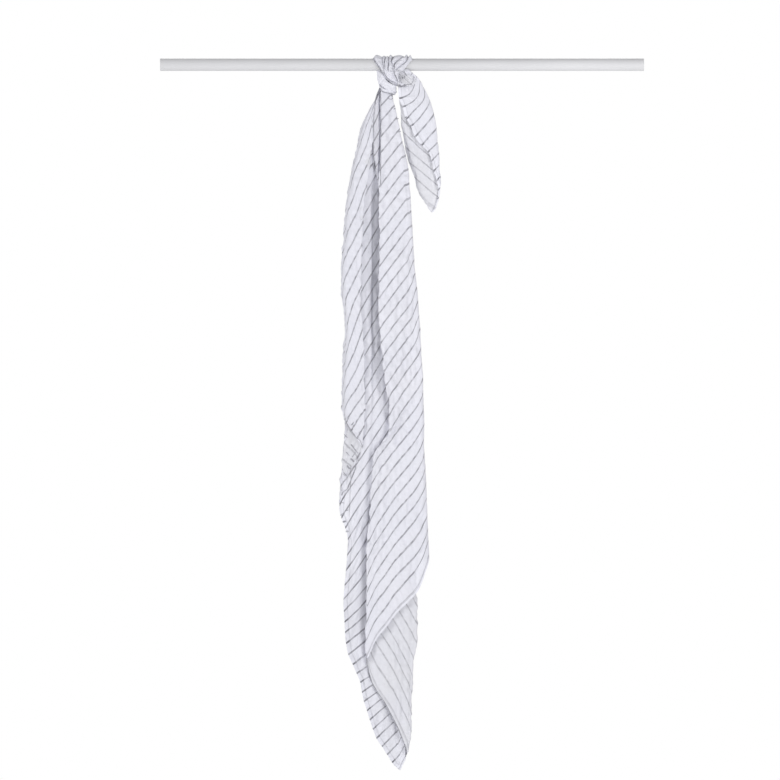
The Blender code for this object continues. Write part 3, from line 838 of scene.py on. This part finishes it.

# Small folds, puckered stitches and ticks in which a stripe shows, as seen in the photo: each is a
# low ridge with one stripe's grey along it. On the ticks, seams and flap marks that grey is the cloth's
# own stripe or seam; along the creases and one hem edge it is painted crease shade and painted shadow.
# Each has a width in mm and a line of photo pixels (from the left, from the top).
photoScale = {"millimetres": 1.613, "knotMiddle": 392.0, "rodAxis": 64.6}
foldMarksAndPaintedShade = {
    # The knot's creases and the band's folds: each stripe-grey line here is painted crease shade.
    "knotLeft": (1.2, (373, 58.5), (376, 64), (380.7, 69.4)),
    "creaseSixLow": (1.1, (393.3, 73.5), (395, 76.5), (397.5, 81.5)),
    "strandUpper": (0.9, (383, 71), (385.5, 77), (388, 80), (392, 82), (396, 83)),
    "bandFold": (1.2, (379, 84.5), (381, 87.5), (385.5, 89.8)),
    "bandLower": (1.3, (380, 90), (383, 92.5), (387, 93.5), (390, 94.5), (393, 94)),
    "bandSecond": (1.1, (388, 98.3), (389.5, 99.7), (392, 99.4), (393, 98)),
    # Where the free corner leaves the knot: a dark wavy line, then dashes and a rib of painted crease
    # shade in the bunched folds.
    "rootWave": (1.3, (398.7, 86.5), (400, 84.5), (401, 86.5), (404.5, 86.7), (406.5, 84.5),
                 (411, 84.5), (413, 81), (413.8, 76.5)),
    "rootDashOne": (1.6, (399.5, 76), (399.5, 80)), "rootDashTwo": (1.6, (402.3, 77), (402.3, 79.5)),
    "rootDashThree": (1.6, (404.4, 76), (404.4, 78.5)), "rootRib": (1.1, (403, 71.5), (407, 76)),
    # The two crease lines at the top of the hang: painted shade where one layer overlaps the next.
    "foldOne": (1.1, (378.5, 91), (376.5, 95), (375.5, 102), (374.5, 108), (373.5, 120),
                (373.5, 150), (373.8, 172)),
    "foldTwo": (1.1, (380.5, 94), (380.5, 140), (380.5, 188)),
    # Ticks where stripes cross a hem, seams and flap marks: the cloth's own stripes and seams.
    "tickOne": (1.8, (393.5, 109.5), (395.5, 108.5)), "tickTwo": (1.8, (396.5, 119.5), (398.5, 118.5)),
    "tickThree": (1.5, (398, 132.5), (401, 131.5)),
    "tailTickTwo": (1.6, (402, 107), (404, 106)),
    "tailTickThree": (1.7, (404.4, 118.2), (407, 117)),
    "tailTickFour": (1.7, (409.4, 126.8), (412, 125)),
    "tailTickFive": (1.6, (413.7, 137.4), (416, 136)), "tailTickSix": (1.5, (419.8, 145.4), (422, 144)),
    "tailTickSeven": (2.2, (427, 152.8), (429.4, 151.2)),
    "tailTickEight": (2.0, (430.6, 162), (433, 160)),
    "tailTickNine": (1.8, (432.8, 172.4), (435, 170.6)),
    "tailTickTen": (2.2, (435.6, 181.2), (438, 180)),
    "tailTickEleven": (1.9, (437, 190.4), (439, 188.6)),
    "tailTickTwelve": (1.8, (436.8, 199.4), (438.4, 197.6)),
    "leftTickOne": (2.0, (346.8, 418.4), (349.4, 415.2)),
    "leftTickTwo": (1.8, (351.4, 425), (354, 421.6)),
    "leftTickThree": (1.6, (358.6, 433), (361.4, 430.4)),
    "leftSeam": (0.9, (344.6, 419), (348, 425), (352, 431), (356, 437), (360, 440), (363, 447)),
    "flapOne": (1.5, (344, 434), (347.5, 437.5)),
    "flapTwo": (1.9, (351, 444), (353.5, 447.5), (358, 453)),
    "flapThree": (1.5, (346, 451.5), (349.5, 455.5)), "flapFour": (2.6, (350.5, 458), (354, 461.5)),
    "flapFive": (2.4, (347, 465), (349.5, 468.5)), "flapSix": (1.6, (343.6, 472), (346.5, 476)),
    "flapCrossOne": (1.3, (352, 457), (355.4, 452)), "flapCrossTwo": (1.1, (355.6, 460), (360, 452)),
    "flapHem": (1.7, (355.6, 463), (355.6, 468), (353, 474), (350, 482), (347, 489), (343, 491.5),
                (341.4, 495)),
    "flapLowOne": (1.1, (341, 502), (344.5, 502.5)), "flapLowTwo": (1.1, (345, 510), (348.5, 509.5)),
    "flapTickOne": (2.6, (340.4, 515), (343.4, 513)),
    "flapTickTwo": (2.6, (342.6, 521.4), (346.4, 520.6)),
    "flapTickThree": (2.6, (345.6, 531), (348.8, 530.6)),
    # A dark line along the hem's edge: painted shadow of the hem on the cloth behind it.
    "lightHemShadowLine": (1.6, (366.8, 657), (367.2, 669), (369, 676), (372, 682.5), (378, 692.5), (384, 701),
                 (388, 708.5), (393, 718.5), (397, 726), (400, 733), (403, 740.5), (405, 748),
                 (405.6, 757)),
}
foldSizes = {
    "step": 0.9,  # along a fold
    "height": 0.35,
    "clear": 0.5,  # in front of the cloth
    "reach": 2.6,  # how far round a point the foremost cloth is looked for
    "layer": 1.6,  # cloth this close behind it counts too
    "apart": 9,  # on the cloth, from one fold to the next
    "stripe": 20,  # the stripe whose grey every fold carries: a real stripe on the ticks, painted shade on the crease lines
}


# A low ridge along the line, on the foremost cloth there. Its stripe runs the whole length, as painted
# crease shade on the crease lines.
def buildFold(wide, line, cover, number):
    sizes = foldSizes
    line = np.array(line, float)
    line = (line - (photoScale["knotMiddle"], photoScale["rodAxis"])) * photoScale["millimetres"]
    run = np.concatenate([[0], np.cumsum(np.hypot(*np.diff(line, axis=0).T))])
    go = np.linspace(0, run[-1], max(5, round(run[-1] / sizes["step"])))
    middle = blur(np.stack([np.interp(go, run, line[:, k]) for k in (0, 1)], -1), 3, axis=0)
    way = np.gradient(middle, axis=0)
    way /= np.linalg.norm(way, axis=1, keepdims=True)
    half = wide / 2 * np.minimum(1, 0.35 + 2 * np.minimum(go, run[-1] - go) / wide)
    sides = np.array([-1, -0.5, 0, 0.5, 1])
    beside = np.stack([way[:, 1], -way[:, 0]], -1)[:, None]
    points = middle[:, None] + (half[:, None] * sides)[..., None] * beside
    low, high = points.min((0, 1)) - 3, points.max((0, 1)) + 3
    near = cover[((cover[:, [0, 2]] > low) & (cover[:, [0, 2]] < high)).all(1)]
    gap = np.hypot(points[..., 0, None] - near[:, 0], points[..., 1, None] - near[:, 2])
    foremost = np.where(gap < sizes["reach"], near[:, 1], np.inf).min(-1)
    weight = np.exp(-gap ** 2) * (near[:, 1] < foremost[..., None] + sizes["layer"])
    depth = (weight * near[:, 1]).sum(-1) / weight.sum(-1)
    depth = blur(blur(depth, 4, axis=0), 1)
    depth = depth - sizes["clear"] - sizes["height"] * (1 - sides ** 2)
    stripe = muslinLook["firstStripe"] + muslinLook["stripeEvery"] * sizes["stripe"]
    over = np.full(depth.shape, stripe)
    flat = np.stack([over + sizes["apart"] * number + go[:, None], over], -1)
    return place(points[..., 0], depth, points[..., 1]), flat


cover = [grid.reshape(-1, 3) for grid, _ in (hangGrids[0], *tailGrids, *knotGrids)]
cover = np.concatenate(cover)
cover = (cover - (knotAt, 0, 0)) * (1000, 1000, -1000)
foldGrids = [buildFold(fold[0], fold[1:], cover, i) for i, fold in enumerate(foldMarksAndPaintedShade.values())]

blanket = gridPiece("swaddleBlanket", hangGrids, muslin)
tail = gridPiece("freeCorner", tailGrids, muslin)
knot = gridPiece("knotFolds", knotGrids, muslin)
foldMarksAndShadeLines = gridPiece("foldMarksAndPaintedShade", foldGrids, muslin)
for piece in (blanket, tail, knot, foldMarksAndShadeLines):
    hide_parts("swaddle_blanket")

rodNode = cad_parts["rod"]
rodPaint = rodMaterial(mottle)
for materialSlot in rodNode.material_slots:
    materialSlot.material = rodPaint
print("cloth and rod made")

studio = {
    "distance": 9.0,
    "seen": 1.258,  # metres across the picture at the rod
    "aim": (0.3706, -0.5246),  # where the middle of the picture is, across and up
    "floorAt": -1.35,
    "floorRadius": 2.7,
    "background": 1.0,
    "ambient": (0.66, 0.33),  # from below and from above
}
scene = bpy.context.scene
camera = newObject("camera", bpy.data.cameras.new("camera"))
camera.data.sensor_width = 36
camera.data.lens = 36 * studio["distance"] / studio["seen"]
camera.location = (studio["aim"][0], -studio["distance"], studio["aim"][1])
camera.rotation_euler = (math.pi / 2, 0, 0)
camera.data.clip_end = 60
scene.camera = camera
scene.view_settings.view_transform = "Standard"


def areaLight(name, at, towards, size, power):
    light = bpy.data.lights.new(name, "AREA")
    light.shape, light.size, light.energy = "DISK", size, power
    made = newObject(name, light)
    made.location = at
    way = np.array(towards, float) - np.array(at, float)
    made.rotation_euler = (math.atan2(math.hypot(way[0], way[1]), -way[2]), 0,
                           math.atan2(way[1], way[0]) - math.pi / 2)


hanging = (0.37, 0, -0.55)
areaLight("keyLight", (-3.1, -3.0, 0.8), hanging, 1.8, 81)
areaLight("fillLight", (3.4, -4.0, -0.2), hanging, 2.6, 29)
areaLight("sideLight", (1.5, -1.3, -0.2), (0.72, 0, 0), 0.7, 7.0)
areaLight("backLight", (0.6, 3.6, 1.6), hanging, 2.6, 18)

world = bpy.data.worlds.new("studioWhite")
scene.world = world
world.use_nodes = True
tree = world.node_tree
tree.nodes.clear()
ray = addNode(tree, "LightPath").outputs["Is Camera Ray"]
upward = addNode(tree, "TexCoord").outputs["Generated"]
upward = addNode(tree, "SeparateXYZ", {0: upward}).outputs["Z"]
around = ramp(tree, upward, -0.6, 0.8, *studio["ambient"])
strength = addNode(tree, "Mix", {0: ray, 2: around, 3: studio["background"]}).outputs[0]
sky = addNode(tree, "Background", {"Color": (1, 1, 1, 1), "Strength": strength})
addNode(tree, "OutputWorld", {"Surface": sky.outputs[0]})

floorMaterial, tree, shader = newMaterial("paleFloor")
where = addNode(tree, "TexCoord").outputs["Object"]
grain = addNode(tree, "Group", {"Position": where, "Broad": 1.5, "Fine": 60.0}, node_tree=mottle)
radius = addNode(tree, "VectorMath", {0: where}, operation="LENGTH").outputs["Value"]
setInputs(tree, shader, {
    "Base Color": mixColour(tree, grain.outputs["Tone"], (.90, .90, .90, 1), (.93, .93, .93, 1)),
    "Alpha": ramp(tree, radius, studio["floorRadius"] * 0.65, studio["floorRadius"] * 0.98, 1.0, 0.0),
    "Roughness": 0.9, "Emission Color": (1, 1, 1, 1), "Emission Strength": 0.3})
sides = 96
turns = np.linspace(0, 2 * math.pi, sides + 1)[:-1]
ring = np.stack([np.cos(turns), np.sin(turns), 0 * turns], -1) * studio["floorRadius"]
floorMesh = bpy.data.meshes.new("floor")
floorMesh.from_pydata([(0, 0, 0)] + ring.tolist(), [],
                      [(0, i + 1, (i + 1) % sides + 1) for i in range(sides)])
floorMesh.materials.append(floorMaterial)
floor = newObject("floor", floorMesh)
floor.location = (0.37, 0, studio["floorAt"])
print("studio made")
